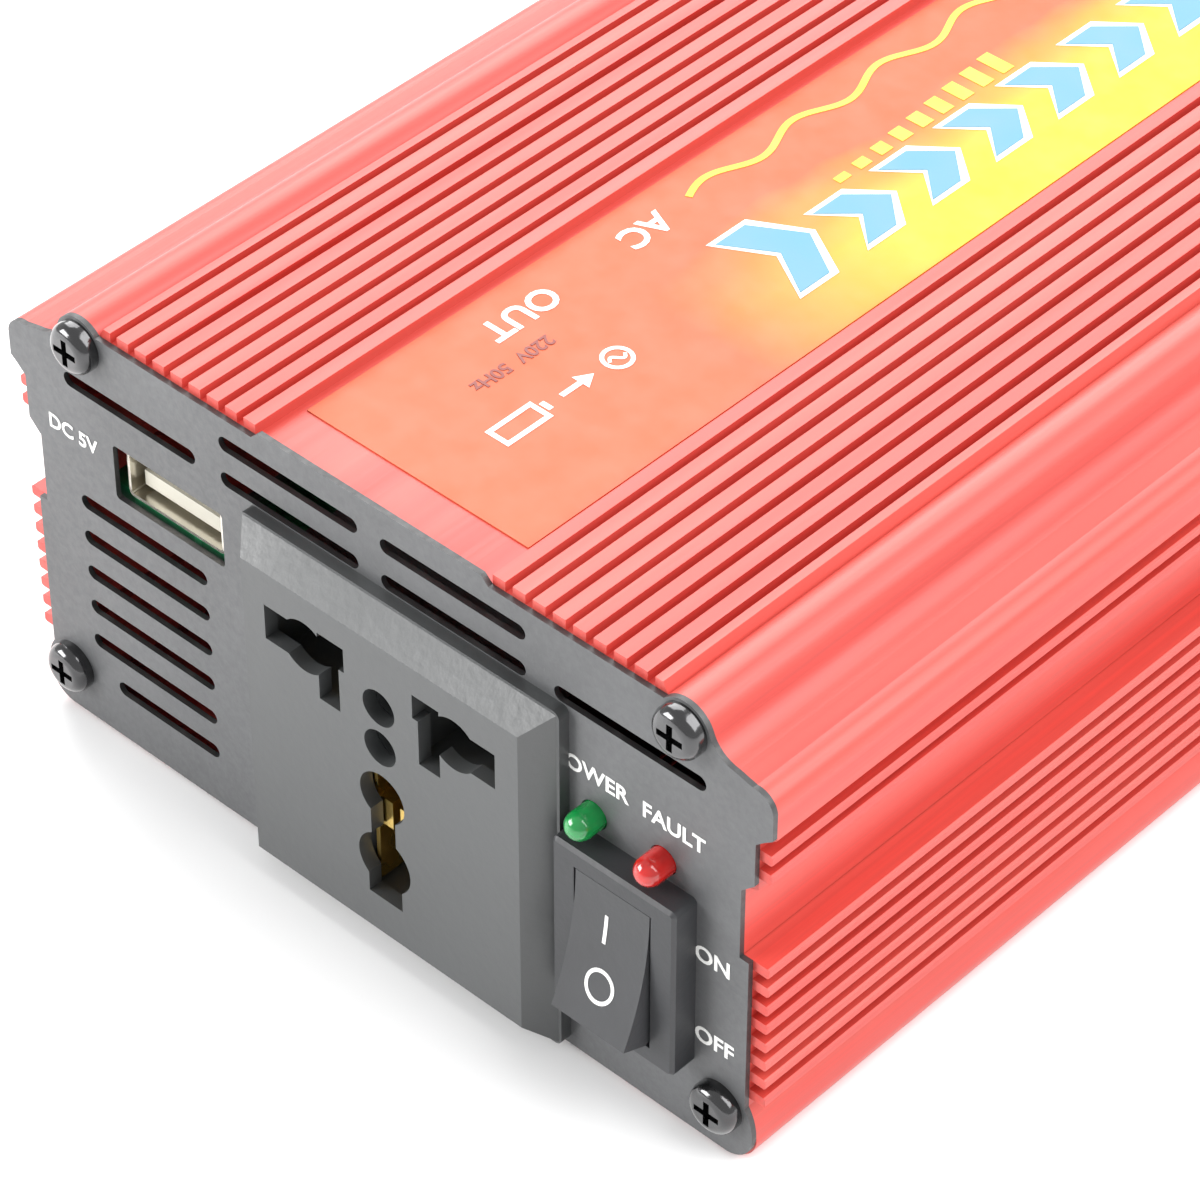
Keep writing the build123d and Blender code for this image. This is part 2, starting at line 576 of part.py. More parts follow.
# ---- USB port ----
def make_usb():
    y0, y1 = USB_RECESS, USB_RECESS + USB_SHELL_L
    back = 3.0
    place = Pos(USB_X, USB_Z)
    shell = panel(place * RectangleRounded(USB_SHELL_W, USB_SHELL_H, 0.6), y0, y1)
    hollow = RectangleRounded(USB_SHELL_W - 2 * USB_WALL, USB_SHELL_H - 2 * USB_WALL, 0.3)
    add("usb_shell", shell - panel(place * hollow, y0 - 1, y1 - back))
    tongue_z = USB_Z - USB_SHELL_H / 2 + USB_WALL + USB_TONGUE_GAP
    tongue_top = tongue_z + USB_TONGUE_H
    add("usb_tongue", block(USB_X - USB_TONGUE_W / 2, USB_X + USB_TONGUE_W / 2, y0 + 1.2, y1 - back,
                            tongue_z, tongue_top))
    pads = [USB_X + offset for offset in (-3.5, -1.0, 1.0, 3.5)]
    add("usb_contacts", *[block(x - 0.5, x + 0.5, y0 + 3.6, y1 - back - 0.2, tongue_top, tongue_top + 0.15)
                          for x in pads])
    board_top = USB_Z - USB_SHELL_H / 2
    board_front = PLATE_THICK + 0.8
    half = USB_BOARD_W / 2
    add("usb_board", block(USB_X - half, USB_X + half, board_front, board_front + USB_BOARD_L,
                           board_top - BOARD_THICK, board_top))
    post_y = board_front + USB_BOARD_L - USB_POST_R - 1
    add("usb_board_posts", *[post(USB_X + side * (half - 3), post_y, USB_POST_R, BOARD_TOP, board_top - BOARD_THICK)
                             for side in (-1, 1)])
    return block(USB_X - 6, USB_X + 6, y1 + 2, y1 + 9, board_top, board_top + 4)


# ---- indicators ----
def make_indicators():
    leg_y = BOARD_FRONT + 3.0
    lens_back = PLATE_THICK + 3.0
    legs = []
    for name, x in (("power_led", GREEN_LED_X), ("fault_led", RED_LED_X)):
        dome_y = LED_R - LED_PROUD
        lens = rod(x, LED_Z, LED_R, dome_y, lens_back) + Pos(x, dome_y, LED_Z) * Sphere(LED_R)
        add(name, lens + rod(x, LED_Z, LED_FLANGE_R, PLATE_THICK + GAP, PLATE_THICK + 1.1))
        for leg_x in (x - LED_LEG_PITCH / 2, x + LED_LEG_PITCH / 2):
            legs.append(wire([(leg_x, lens_back, LED_Z), (leg_x, leg_y, LED_Z), (leg_x, leg_y, BOARD_TOP)], 0.25))
    add("led_legs", *legs)


# ---- rocker switch ----
def make_switch_body():
    bezel = panel(Pos(SWITCH_X, SWITCH_Z) * RectangleRounded(BEZEL_W, BEZEL_H, 0.6), -BEZEL_PROUD, 0)
    bezel = chamfer(bezel.faces().sort_by(Axis.Y)[0].edges(), 0.35)
    body = bezel + panel(Pos(SWITCH_X, SWITCH_Z) * Rectangle(SWITCH_BODY_W, SWITCH_BODY_H), 0, SWITCH_BACK_Y)
    body -= panel(Pos(SWITCH_X, SWITCH_Z) * Rectangle(WINDOW_W, WINDOW_H), -BEZEL_PROUD - 1, SWITCH_BACK_Y - SWITCH_FLOOR)
    body -= Pos(SWITCH_X, PIVOT_Y, SWITCH_Z) * Rot(0, 90, 0) * Cylinder(PIVOT_R + PIVOT_GAP, WINDOW_W + 3.0)
    for z in terminal_heights():
        body -= block(SWITCH_X - TAIL_HALF - GAP, SWITCH_X + TAIL_HALF + GAP, SWITCH_BACK_Y - 2, SWITCH_BACK_Y + 1,
                      z - TAIL_THICK / 2 - GAP, z + TAIL_THICK / 2 + GAP)
    add("switch_body", body)


def terminal_heights():
    """The middle terminal, on which the contact bar rocks, and the lower one, which it meets when on."""
    return SWITCH_Z, SWITCH_Z - BAR_LENGTH / 2 - 0.2


def bar_front_y():
    """Front face of the contact bar, when level, just behind the plunger's tip."""
    return PIVOT_Y + PLUNGER_REACH + BAR_GAP


def make_rocker():
    tip_y = -ROCKER_RISE
    dish = ROCKER_TIP * math.tan(math.radians(THROW) / 2)
    back = Polyline((tip_y, -ROCKER_TIP), (-0.5, -8.3), (2.6, -5.6), (3.6, -1.6), (3.6, 1.6), (2.6, 5.6), (-0.5, 8.3),
                    (tip_y, ROCKER_TIP))
    profile = make_face(ThreePointArc((tip_y, ROCKER_TIP), (tip_y + dish, 0), (tip_y, -ROCKER_TIP)) + back)
    rocker = extrude(Plane.YZ * profile, amount=WINDOW_W / 2 - WINDOW_SIDE_GAP, both=True)
    rocker += Rot(0, 90, 0) * Cylinder(PIVOT_R, WINDOW_W + 2.4)
    rocker -= rod(0, 0, PLUNGER_R + GAP, 1.5, 4.0)
    plunger = rod(0, 0, PLUNGER_R, 1.5, PLUNGER_REACH - PLUNGER_R)
    plunger += Pos(0, PLUNGER_REACH - PLUNGER_R, 0) * Sphere(PLUNGER_R)
    place = Pos(SWITCH_X, PIVOT_Y, SWITCH_Z) * Rot(-THROW, 0, 0)
    add("switch_rocker", place * rocker)
    add("switch_plunger", place * plunger)


def make_switch_contacts():
    middle_y = bar_front_y() + BAR_THICK / 2
    back_y = bar_front_y() + BAR_THICK
    bar = Pos(SWITCH_X, middle_y, SWITCH_Z) * Rot(BAR_TILT, 0, 0) * Box(3.0, BAR_THICK, BAR_LENGTH)
    add("switch_contact_bar", bar)
    dip = BAR_LENGTH / 2 * math.sin(math.radians(BAR_TILT))
    fronts = (back_y + BAR_GAP, back_y + dip + BAR_GAP)
    add("switch_terminals", *[
        block(SWITCH_X - TAIL_HALF, SWITCH_X + TAIL_HALF, front, SWITCH_BACK_Y + 7, z - TAIL_THICK / 2, z + TAIL_THICK / 2)
        for front, z in zip(fronts, terminal_heights())
    ])


# ---- fan ----
def make_fan_frame():
    frame = panel(Pos(0, FAN_Z) * RectangleRounded(FAN_SIZE, FAN_SIZE, 2.0), FAN_Y, REAR_Y)
    frame -= rod(0, FAN_Z, FAN_BORE, FAN_Y - 1, REAR_Y + 1)
    for x, z in fan_hole_places():
        frame -= rod(x, z, FAN_HOLE_R, FAN_Y - 1, REAR_Y + 1)
    reach = FAN_BORE - HUB_R + 2.0
    for angle in (20, 110, 200, 290):
        strut = Pos(HUB_R - 1 + reach / 2, 0, 0) * Box(reach, 1.4, 2.0)
        frame += Pos(0, FAN_Y + 0.7, FAN_Z) * Rot(0, angle, 0) * strut
    frame += rod(0, FAN_Z, HUB_R, FAN_Y, FAN_Y + 1.4)
    add("fan_frame", frame - rod(0, FAN_Z, SHAFT_R + SHAFT_GAP, FAN_Y - 1, FAN_Y + 2))
    add("fan_stator", rod(0, FAN_Z, HUB_R - 1.8, FAN_Y + 1.4, FAN_Y + 5.4) - rod(0, FAN_Z, SHAFT_R + 0.3, FAN_Y, REAR_Y))


def make_fan_rotor():
    front, back = FAN_Y + 1.9, REAR_Y - 1.0
    tip = FAN_BORE - FAN_TIP_GAP
    rotor = rod(0, FAN_Z, HUB_R, front, back) - rod(0, FAN_Z, HUB_R - 1.2, front - 1, back - 1.6)
    rotor += rod(0, FAN_Z, SHAFT_R, FAN_Y + 0.2, back)
    ring = rod(0, FAN_Z, tip, front + 0.2, back - 0.2) - rod(0, FAN_Z, HUB_R - 0.3, front, back)
    blade = Pos((HUB_R + tip) / 2, 0, 0) * Rot(38, 0, 0) * Box(tip - HUB_R + 4, 1.0, 9.0)
    for i in range(FAN_BLADES):
        rotor += Pos(0, (front + back) / 2, FAN_Z) * Rot(0, i * 360 / FAN_BLADES, 0) * blade & ring
    add("fan_rotor", rotor)


def make_fan_fixings():
    shank = 1.45
    places = fan_hole_places()
    length = PLATE_THICK + FAN_DEPTH + 3.5
    add("fan_screws", *[pan_screw(x, z, BACK_Y, 1, length, shank) for x, z in places])
    add("fan_nuts", *[hex_nut(x, z, 3.1, shank + 0.02, FAN_Y - 2.4, FAN_Y) for x, z in places])


# ---- DC terminals ----
def make_terminal_fixed_parts():
    """Per side: an insulating bush, a collared stud, an inner washer, a lug and a nut."""
    bushes, studs, washers, lugs, nuts = [], [], [], [], []
    bush_y = BACK_Y + BUSH_THICK
    inner_y = REAR_Y - INNER_WASHER_THICK
    lug_y = inner_y - LUG_THICK
    z = TERMINAL_Z
    for x in (-TERMINAL_X, TERMINAL_X):
        bush = rod(x, z, BUSH_R, BACK_Y, bush_y) + rod(x, z, BUSH_NECK_R, inner_y, BACK_Y)
        bushes.append(bush - rod(x, z, STUD_R + GAP, inner_y - 1, bush_y + 1))
        stud = rod(x, z, STUD_R, REAR_Y - STUD_IN, BACK_Y + STUD_OUT)
        stud = chamfer(stud.faces().sort_by(Axis.Y)[-1].edges(), 0.5)
        studs.append(stud + rod(x, z, COLLAR_R, bush_y, bush_y + COLLAR_THICK))
        washers.append(rod(x, z, BUSH_R - 0.5, inner_y, REAR_Y) - rod(x, z, BUSH_NECK_R + GAP, inner_y - 1, REAR_Y + 1))
        lug = rod(x, z, LUG_R, lug_y, inner_y)
        lug += block(x - BARREL_R, x + BARREL_R, lug_y, inner_y, z - BARREL_DROP - BARREL_R, z)
        lug += rod(x, z - BARREL_DROP, BARREL_R, lug_y - 8, lug_y)
        lug -= rod(x, z - BARREL_DROP, LEAD_R + THREAD_GAP, lug_y - 9, lug_y)
        lugs.append(lug - rod(x, z, STUD_R + THREAD_GAP, lug_y - 1, inner_y + 1))
        nuts.append(hex_nut(x, z, NUT_R, STUD_R + THREAD_GAP, lug_y - NUT_THICK, lug_y))
    add("terminal_bushes", *bushes)
    add("terminal_studs", *studs)
    add("terminal_inner_washers", *washers)
    add("terminal_lugs", *lugs)
    add("terminal_nuts", *nuts)


def make_terminal_knob(name, x):
    """The screw-down knob, its threaded insert and the washer it carries."""
    z = TERMINAL_Z
    bore = STUD_R + THREAD_GAP
    washer_y = BACK_Y + BUSH_THICK + COLLAR_THICK
    y0 = washer_y + WASHER_THICK
    y1 = y0 + KNOB_LENGTH
    flute_r = 1.1
    add(f"{name}_washer", rod(x, z, WASHER_R, washer_y, y0) - rod(x, z, bore, washer_y - 1, y0 + 1))
    knob = rod(x, z, KNOB_R, y0, y1)
    knob = chamfer(knob.faces().sort_by(Axis.Y)[-1].edges(), 1.0)
    for i in range(KNOB_FLUTES):
        turn = 2 * math.pi * i / KNOB_FLUTES
        out = KNOB_R + 0.45
        knob -= rod(x + out * math.cos(turn), z + out * math.sin(turn), flute_r, y0 + 2.0, y1 + 1)
    add(f"{name}_knob", knob - rod(x, z, INSERT_R, y0 - 1, y0 + INSERT_LENGTH))
    add(f"{name}_insert", rod(x, z, INSERT_R, y0, y0 + INSERT_LENGTH) - rod(x, z, bore, y0 - 1, y1))


# ---- board and components ----
def make_board():
    half = INNER_X + BOARD_GROOVE - GAP
    add("main_board", block(-half, half, BOARD_FRONT, BOARD_REAR, BOARD_Z, BOARD_TOP))


def make_transformers():
    """Two E-core transformers, each a bobbin, a winding and a core round it."""
    cores, windings, bobbins = [], [], []
    foot = BOARD_TOP + 1.5
    window_low, window_high = foot + 5.5, foot + 22.5
    for y in (72.0, 112.0):
        core = block(-17.5, 17.5, y - 6.5, y + 6.5, foot, foot + 28)
        core -= block(-12, 12, y - 7, y + 7, window_low, window_high)
        cores.append(core + block(-4.5, 4.5, y - 6.5, y + 6.5, foot, foot + 28))
        coil = block(-11.5, 11.5, y - 13, y + 13, window_low, window_high)
        coil = fillet(coil.edges().filter_by(Axis.Z), 4.0)
        windings.append(coil - block(-4.6, 4.6, y - 6.6, y + 6.6, window_low - 1, window_high + 1))
        bobbins.append(block(-15, 15, y - 14, y + 14, BOARD_TOP, foot))
    add("transformer_cores", *cores)
    add("transformer_windings", *windings)
    add("transformer_bobbins", *bobbins)


def capacitor(x, y, radius, height):
    top = BOARD_TOP + height
    can = post(x, y, radius, BOARD_TOP, top)
    can = fillet(can.edges().sort_by(Axis.Z)[-1], 0.8)
    return can - post(x, y, radius - 1.6, top - 0.3, top + 1)


def blade_fuse(x, y):
    foot = BOARD_TOP + 1.0
    fuse = block(x - 2.5, x + 2.5, y - 9.5, y + 9.5, foot + 4, foot + 13)
    for leg_y in (y - 5.5, y + 5.5):
        fuse += block(x - 0.4, x + 0.4, leg_y - 2.5, leg_y + 2.5, foot, foot + 4)
    return fuse


def fuse_holder(x, y):
    holder = block(x - 3, x + 3, y - 9.5, y + 9.5, BOARD_TOP, BOARD_TOP + 4)
    return holder - block(x - 0.5, x + 0.5, y - 8.2, y + 8.2, BOARD_TOP + 1, BOARD_TOP + 5)


def make_board_parts(usb_chip):
    fuse_y = BOARD_REAR - 11
    fuse_places = (-9, 2, 13)
    choke_wire = 3.6
    add("capacitors", capacitor(18, 44, 11, 31), *[capacitor(x, 138, 6.0, 24) for x in (-22, -7, 8)])
    add("fuse_holders", *[fuse_holder(x, fuse_y) for x in fuse_places])
    add("fuses", *[blade_fuse(x, fuse_y) for x in fuse_places])
    add("output_choke", Pos(-18, 46, BOARD_TOP + choke_wire + 0.02) * Torus(8.0, choke_wire))
    add("buzzer", post(-26, 66, 6, BOARD_TOP, BOARD_TOP + 9) - post(-26, 66, 1, BOARD_TOP + 7, BOARD_TOP + 10))
    add("control_board", block(-30, -28.4, 84, 122, BOARD_TOP, BOARD_TOP + 26))
    chips = [block(-28.4, -24.6, y - 4, y + 4, BOARD_TOP + 5, BOARD_TOP + 21) for y in (95, 112)]
    add("chips", usb_chip, *chips)


def make_transistors():
    """Flat power packages on insulating strips along both side walls, under clamp bars."""
    foot = BOARD_TOP + 4.0
    rows = (60, 76, 92, 108, 124, 140)
    first, last = rows[0] - 8, rows[-1] + 8
    pad = 0.3
    tab, body = 1.3, 4.4
    strips, packages, bars = [], [], []
    for side in (-1, 1):
        face = INNER_X - pad
        strips.append(block(side * face, side * INNER_X, first, last, foot - 1, foot + 14.6))
        for y in rows:
            package = block(side * (face - tab), side * face, y - 5, y + 5, foot, foot + 14.5)
            package += block(side * (face - body), side * (face - tab), y - 5, y + 5, foot, foot + 9)
            for leg_y in (y - 2.54, y, y + 2.54):
                package += block(side * (face - 2.9), side * (face - 2.3), leg_y - 0.4, leg_y + 0.4, BOARD_TOP, foot)
            packages.append(package)
        bars.append(block(side * (face - body - 2), side * (face - body), first, last, foot + 2, foot + 8))
    add("insulating_strips", *strips)
    add("transistors", *packages)
    add("clamp_bars", *bars)


# ---- wires ----
def drop_wire(x, z, start_y, down_y, radius):
    """A wire that runs along Y from a terminal, then straight down to the board."""
    return wire([(x, start_y, z), (x, down_y, z), (x, down_y, BOARD_TOP)], radius)


def make_wires():
    lug_y = REAR_Y - INNER_WASHER_THICK - LUG_THICK
    for name, x in (("positive_lead", TERMINAL_X), ("negative_lead", -TERMINAL_X)):
        add(name, drop_wire(x, TERMINAL_Z - BARREL_DROP, lug_y, BOARD_REAR - 4, LEAD_R))
    outlet_r = 1.1
    live = (OUTLET_X - 10, TAIL_END_Y, PIN_ROW_Z)
    neutral = (OUTLET_X + 10, TAIL_END_Y, PIN_ROW_Z)
    add(
        "outlet_wires",
        wire([live, (live[0], 33, PIN_ROW_Z), (live[0] - 2, 36, 24), (live[0] - 2, 36, BOARD_TOP)], outlet_r),
        wire([neutral, (neutral[0], 29.5, PIN_ROW_Z), (12.5, 30.5, 24), (12.5, 30.5, BOARD_TOP)], outlet_r),
        drop_wire(OUTLET_X, earth_mid_z(), TAIL_END_Y, 33, outlet_r),
    )
    ends = (BOARD_FRONT + 6, BOARD_FRONT + 2.5)
    add("switch_wires", *[drop_wire(SWITCH_X, z, SWITCH_BACK_Y + 7, end, 0.8) for z, end in zip(terminal_heights(), ends)])
    add("fan_wires", *[drop_wire(x, BOARD_TOP + 4, FAN_Y, BOARD_REAR - 3, 0.7) for x in (-18.5, -16.2)])


def build():
    make_top_cover()
    make_bottom_shell()
    make_front_plate()
    make_rear_plate()
    make_label()
    make_outlet_cover()
    make_outlet_body()
    make_outlet_contacts()
    usb_chip = make_usb()
    make_indicators()
    make_switch_body()
    make_rocker()
    make_switch_contacts()
    make_fan_frame()
    make_fan_rotor()
    make_fan_fixings()
    make_terminal_fixed_parts()
    make_terminal_knob("positive", TERMINAL_X)
    make_terminal_knob("negative", -TERMINAL_X)
    make_board()
    make_transformers()
    make_board_parts(usb_chip)
    make_transistors()
    make_wires()


def centring_shift():
    """How far the pieces move along Y, to centre the whole on the origin."""
    boxes = [node.bounding_box() for node in NODES.values()]
    return -(min(box.min.Y for box in boxes) + max(box.max.Y for box in boxes)) / 2


build()
shift = centring_shift()
print(f"moved along Y by {shift:.4f} mm")
os.makedirs("parts", exist_ok=True)
for node_name, node in NODES.items():
    export_step(Pos(0, shift, 0) * node, f"parts/{node_name}.step")
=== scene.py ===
# The looks of a red finned power inverter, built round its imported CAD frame. Metres, in the row frame.
import json
import math

import bmesh
import bpy
from mathutils import Matrix, Vector
from mathutils.bvhtree import BVHTree


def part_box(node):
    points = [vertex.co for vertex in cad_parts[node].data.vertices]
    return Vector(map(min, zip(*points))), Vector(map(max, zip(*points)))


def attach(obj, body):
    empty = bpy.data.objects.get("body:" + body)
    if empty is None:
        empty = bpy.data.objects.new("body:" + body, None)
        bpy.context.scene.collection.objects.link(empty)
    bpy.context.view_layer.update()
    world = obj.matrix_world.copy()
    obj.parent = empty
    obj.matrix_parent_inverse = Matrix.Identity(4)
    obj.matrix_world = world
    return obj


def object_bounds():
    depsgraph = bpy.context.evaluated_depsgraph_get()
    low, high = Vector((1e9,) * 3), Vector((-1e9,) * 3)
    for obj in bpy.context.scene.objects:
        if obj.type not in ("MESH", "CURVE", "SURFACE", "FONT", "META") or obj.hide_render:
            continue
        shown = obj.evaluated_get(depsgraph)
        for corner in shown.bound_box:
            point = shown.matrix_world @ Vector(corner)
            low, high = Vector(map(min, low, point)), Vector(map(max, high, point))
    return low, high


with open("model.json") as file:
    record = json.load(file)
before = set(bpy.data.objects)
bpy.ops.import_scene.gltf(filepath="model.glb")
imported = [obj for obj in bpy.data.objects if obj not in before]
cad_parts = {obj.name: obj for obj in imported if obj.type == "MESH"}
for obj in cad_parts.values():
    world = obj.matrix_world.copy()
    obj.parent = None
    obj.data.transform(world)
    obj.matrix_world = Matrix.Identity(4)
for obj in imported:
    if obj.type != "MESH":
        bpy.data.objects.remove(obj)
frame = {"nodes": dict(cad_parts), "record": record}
cad_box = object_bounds()

MM = 0.001
NODES = frame["nodes"]

# ---- places read from the frame ----
FRONT_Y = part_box("front_plate")[0][1]
SWITCH_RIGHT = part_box("switch_body")[1][0]
LABEL_LOW, LABEL_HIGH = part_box("top_label")
USB_LOW, USB_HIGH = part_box("usb_shell")
POWER_LOW, POWER_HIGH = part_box("power_led")
FAULT_LOW, FAULT_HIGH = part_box("fault_led")

# ---- camera, measured from the foot of the front plate's outer face ----
CAMERA_FROM_PLATE = Vector((241.84, -228.19, 337.84)) * MM
TARGET_FROM_PLATE = Vector((9.75, 20.10, 34.00)) * MM
LENS_MM = 146.65
SENSOR_MM = 36.0

# ---- studio, in metres from the part's middle at floor level ----
LIGHT_AIM = (0, 0, 30 * MM)
WORLD_STRENGTH = 0.75
FLOOR_HALF = 3.0
FLOOR_GAP = 0.1 * MM        # the floor lies this far under the case

# ---- printed marks ----
INK = 0.06 * MM             # thickness of a mark
CAP_HEIGHT = 0.7            # height of a capital, as a share of the font's size
BOLDNESS = 0.03             # how far a letter's outline swells, as a share of its height
CIRCLE_STEPS = 40
BAR_STEPS = 8
WELD = 1e-7                 # points of a mark's mesh that are closer than this are one

# ---- the label's film: millimetres behind the label's front edge, and along X for the glow's edge ----
FILM_FADE = 110             # the film turns from salmon to orange over this length
GLOW_START, GLOW_FULL = 33, 62
GLOW_EDGE = (-5, 6)

# ---- the label's art: millimetres behind the front plate, and to the left of the label's middle line ----
CHEVRON_COUNT = 10
CHEVRON_START = 60
CHEVRON_PITCH = 9.6
LEVEL_COUNT = 9
LEVEL_START = 66.5
LEVEL_PITCH = 3.1
SIGNS_MIDDLE = -1.6         # the battery, the arrow and the mains sign share this line


# ---- shader nodes ----
def add_node(tree, kind, inputs=(), **settings):
    """One shader node; inputs pairs a socket's name or number with a value or with another node's output."""
    made = tree.nodes.new("ShaderNode" + kind)
    for key, value in settings.items():
        setattr(made, key, value)
    for key, value in dict(inputs).items():
        if isinstance(value, bpy.types.NodeSocket):
            tree.links.new(value, made.inputs[key])
        else:
            made.inputs[key].default_value = value
    return made


def start_material(name, **sockets):
    """A material with its shader; sockets are uniform values set on the shader itself."""
    material = bpy.data.materials.new(name)
    material.use_nodes = True
    shader = material.node_tree.nodes["Principled BSDF"]
    for key, value in sockets.items():
        shader.inputs[key.replace("_", " ")].default_value = value
    return material, material.node_tree, shader


def place_texture(tree, scale=(1, 1, 1)):
    """Object coordinates in metres, scaled per axis."""
    coordinates = add_node(tree, "TexCoord").outputs["Object"]
    return add_node(tree, "Mapping", {"Vector": coordinates, "Scale": scale}).outputs["Vector"]


def noise(tree, vector, scale, detail=3.0, roughness=0.55):
    """A noise texture's value, mostly between 0.3 and 0.7."""
    values = {"Vector": vector, "Scale": scale, "Detail": detail, "Roughness": roughness}
    return add_node(tree, "TexNoise", values).outputs["Fac"]


def remap(tree, value, low, high, from_low=0.3, from_high=0.7):
    """A value spread over low to high; the source range suits noise."""
    values = {"Value": value, "From Min": from_low, "From Max": from_high, "To Min": low, "To Max": high}
    return add_node(tree, "MapRange", values).outputs["Result"]


def calculate(tree, operation, first, second=0.0):
    return add_node(tree, "Math", {0: first, 1: second}, operation=operation).outputs[0]


def mix(tree, factor, first, second):
    """A colour between two others, which may be values or other nodes' outputs; the factor is an output."""
    made = tree.nodes.new("ShaderNodeMix")
    made.data_type = "RGBA"
    colour_inputs = [socket for socket in made.inputs if socket.type == "RGBA"]
    for socket, value in zip([made.inputs[0], *colour_inputs], (factor, first, second)):
        if isinstance(value, bpy.types.NodeSocket):
            tree.links.new(value, socket)
        else:
            socket.default_value = (*value, 1.0)
    return next(socket for socket in made.outputs if socket.type == "RGBA")


def bump(tree, shader, height, distance, strength=1.0):
    made = add_node(tree, "Bump", {"Height": height, "Distance": distance, "Strength": strength})
    tree.links.new(made.outputs["Normal"], shader.inputs["Normal"])


def shade(colour, factor):
    """A colour made darker or lighter, within what a surface can reflect."""
    return tuple(min(1.0, channel * factor) for channel in colour)


def mottle(tree, pattern, colour, low, high):
    """A colour that runs from its low share to its high share over a noise pattern."""
    return mix(tree, remap(tree, pattern, 0, 1), shade(colour, low), shade(colour, high))


# ---- materials ----
def grained(name, colour, roughness, spread=0.15, grain=900.0, depth=0.04 * MM, **sockets):
    """Moulded, painted or plated stuff: mottled colour, uneven gloss and a fine grain."""
    material, tree, shader = start_material(name, **sockets)
    place = place_texture(tree)
    broad = noise(tree, place, grain / 12)
    fine = noise(tree, place, grain, detail=4.0)
    tree.links.new(mottle(tree, broad, colour, 1 - spread, 1 + spread), shader.inputs["Base Color"])
    tree.links.new(remap(tree, broad, roughness * 0.85, roughness * 1.15), shader.inputs["Roughness"])
    bump(tree, shader, fine, depth)
    return material


def anodised_red(name):
    """Red anodised extrusion: fine die lines along its length, and paler streaks where the dye took less."""
    colour, streak, blotch = (0.5, 0.03, 0.021), (0.7, 0.13, 0.1), (0.72, 0.2, 0.16)
    material, tree, shader = start_material(
        name, Metallic=0.15, Specular_IOR_Level=0.6, Coat_Weight=0.2, Coat_Roughness=0.42)
    lines = noise(tree, place_texture(tree, (1, 0.012, 1)), 1900.0, detail=5.0, roughness=0.7)
    bands = noise(tree, place_texture(tree, (1, 0.015, 1)), 230.0, detail=2.0)
    blotches = noise(tree, place_texture(tree, (1, 0.3, 1)), 45.0)
    base = mottle(tree, lines, colour, 0.84, 1.16)
    base = mix(tree, remap(tree, bands, 0, 0.4), base, streak)
    base = mix(tree, remap(tree, blotches, 0, 0.1), base, blotch)
    tree.links.new(base, shader.inputs["Base Color"])
    tree.links.new(remap(tree, lines, 0.34, 0.5), shader.inputs["Roughness"])
    bump(tree, shader, lines, 0.02 * MM, 0.6)
    return material


def panel_black(name):
    """Semi-matt powder coat on sheet steel; faces turned away from front and back, the plate's edges and its
    slot walls, are painted darker as painted shade, flecked with wear.
    """
    colour, painted_edge_shade, edge_worn = (0.075, 0.077, 0.08), (0.02, 0.02, 0.021), (0.05, 0.05, 0.05)
    material, tree, shader = start_material(name, Specular_IOR_Level=0.75)
    place = place_texture(tree)
    orange_peel = noise(tree, place, 1500.0, detail=2.0)
    face = mottle(tree, noise(tree, place, 60.0), colour, 0.88, 1.15)
    normal = add_node(tree, "TexCoord").outputs["Normal"]
    across = add_node(tree, "SeparateXYZ", {"Vector": normal}).outputs["Y"]
    # Painted shade: faces whose normal turns away from Y, on the edges and in the slots, take a darker colour
    # with lighter wear spots.
    side_facing_mask = remap(tree, calculate(tree, "ABSOLUTE", across), 1, 0, 0.3, 0.8)
    wear = remap(tree, noise(tree, place, 420.0), 0, 1, 0.5, 0.75)
    shade_and_wear = mix(tree, wear, painted_edge_shade, edge_worn)
    tree.links.new(mix(tree, side_facing_mask, face, shade_and_wear), shader.inputs["Base Color"])
    tree.links.new(remap(tree, orange_peel, 0.38, 0.55), shader.inputs["Roughness"])
    bump(tree, shader, orange_peel, 0.03 * MM)
    return material


def label_film(name):
    """Printed film: salmon at the front, warming to orange, with a yellow glow along its right half."""
    salmon, orange, yellow = (0.58, 0.11, 0.045), (0.58, 0.09, 0.025), (0.72, 0.44, 0.015)
    near, wobble = LABEL_LOW[1], 4 * MM
    material, tree, shader = start_material(name, Specular_IOR_Level=0.45)
    split = add_node(tree, "SeparateXYZ", {"Vector": add_node(tree, "TexCoord").outputs["Object"]})
    across, along = split.outputs["X"], split.outputs["Y"]
    film = mix(tree, remap(tree, along, 0, 1, near, near + FILM_FADE * MM), salmon, orange)
    start = remap(tree, along, 0, 1, near + GLOW_START * MM, near + GLOW_FULL * MM)
    waver = remap(tree, noise(tree, place_texture(tree, (1, 0.5, 1)), 55.0), -wobble, wobble)
    edge = calculate(tree, "ADD", across, waver)
    glow = remap(tree, edge, 0, 1, GLOW_EDGE[0] * MM, GLOW_EDGE[1] * MM)
    both = calculate(tree, "MULTIPLY", start, glow)
    tree.links.new(mix(tree, both, film, yellow), shader.inputs["Base Color"])
    gloss = noise(tree, place_texture(tree), 300.0)
    tree.links.new(remap(tree, gloss, 0.45, 0.58), shader.inputs["Roughness"])
    bump(tree, shader, gloss, 0.02 * MM, 0.4)
    return material


def lens(name, colour):
    """Tinted clear epoxy with faint flow marks."""
    material, tree, shader = start_material(
        name, Transmission_Weight=0.45, IOR=1.5, Coat_Weight=0.6, Coat_Roughness=0.04)
    flow = noise(tree, place_texture(tree), 700.0, detail=1.0)
    tree.links.new(mottle(tree, flow, colour, 0.85, 1.2), shader.inputs["Base Color"])
    tree.links.new(remap(tree, flow, 0.1, 0.2), shader.inputs["Roughness"])
    return material


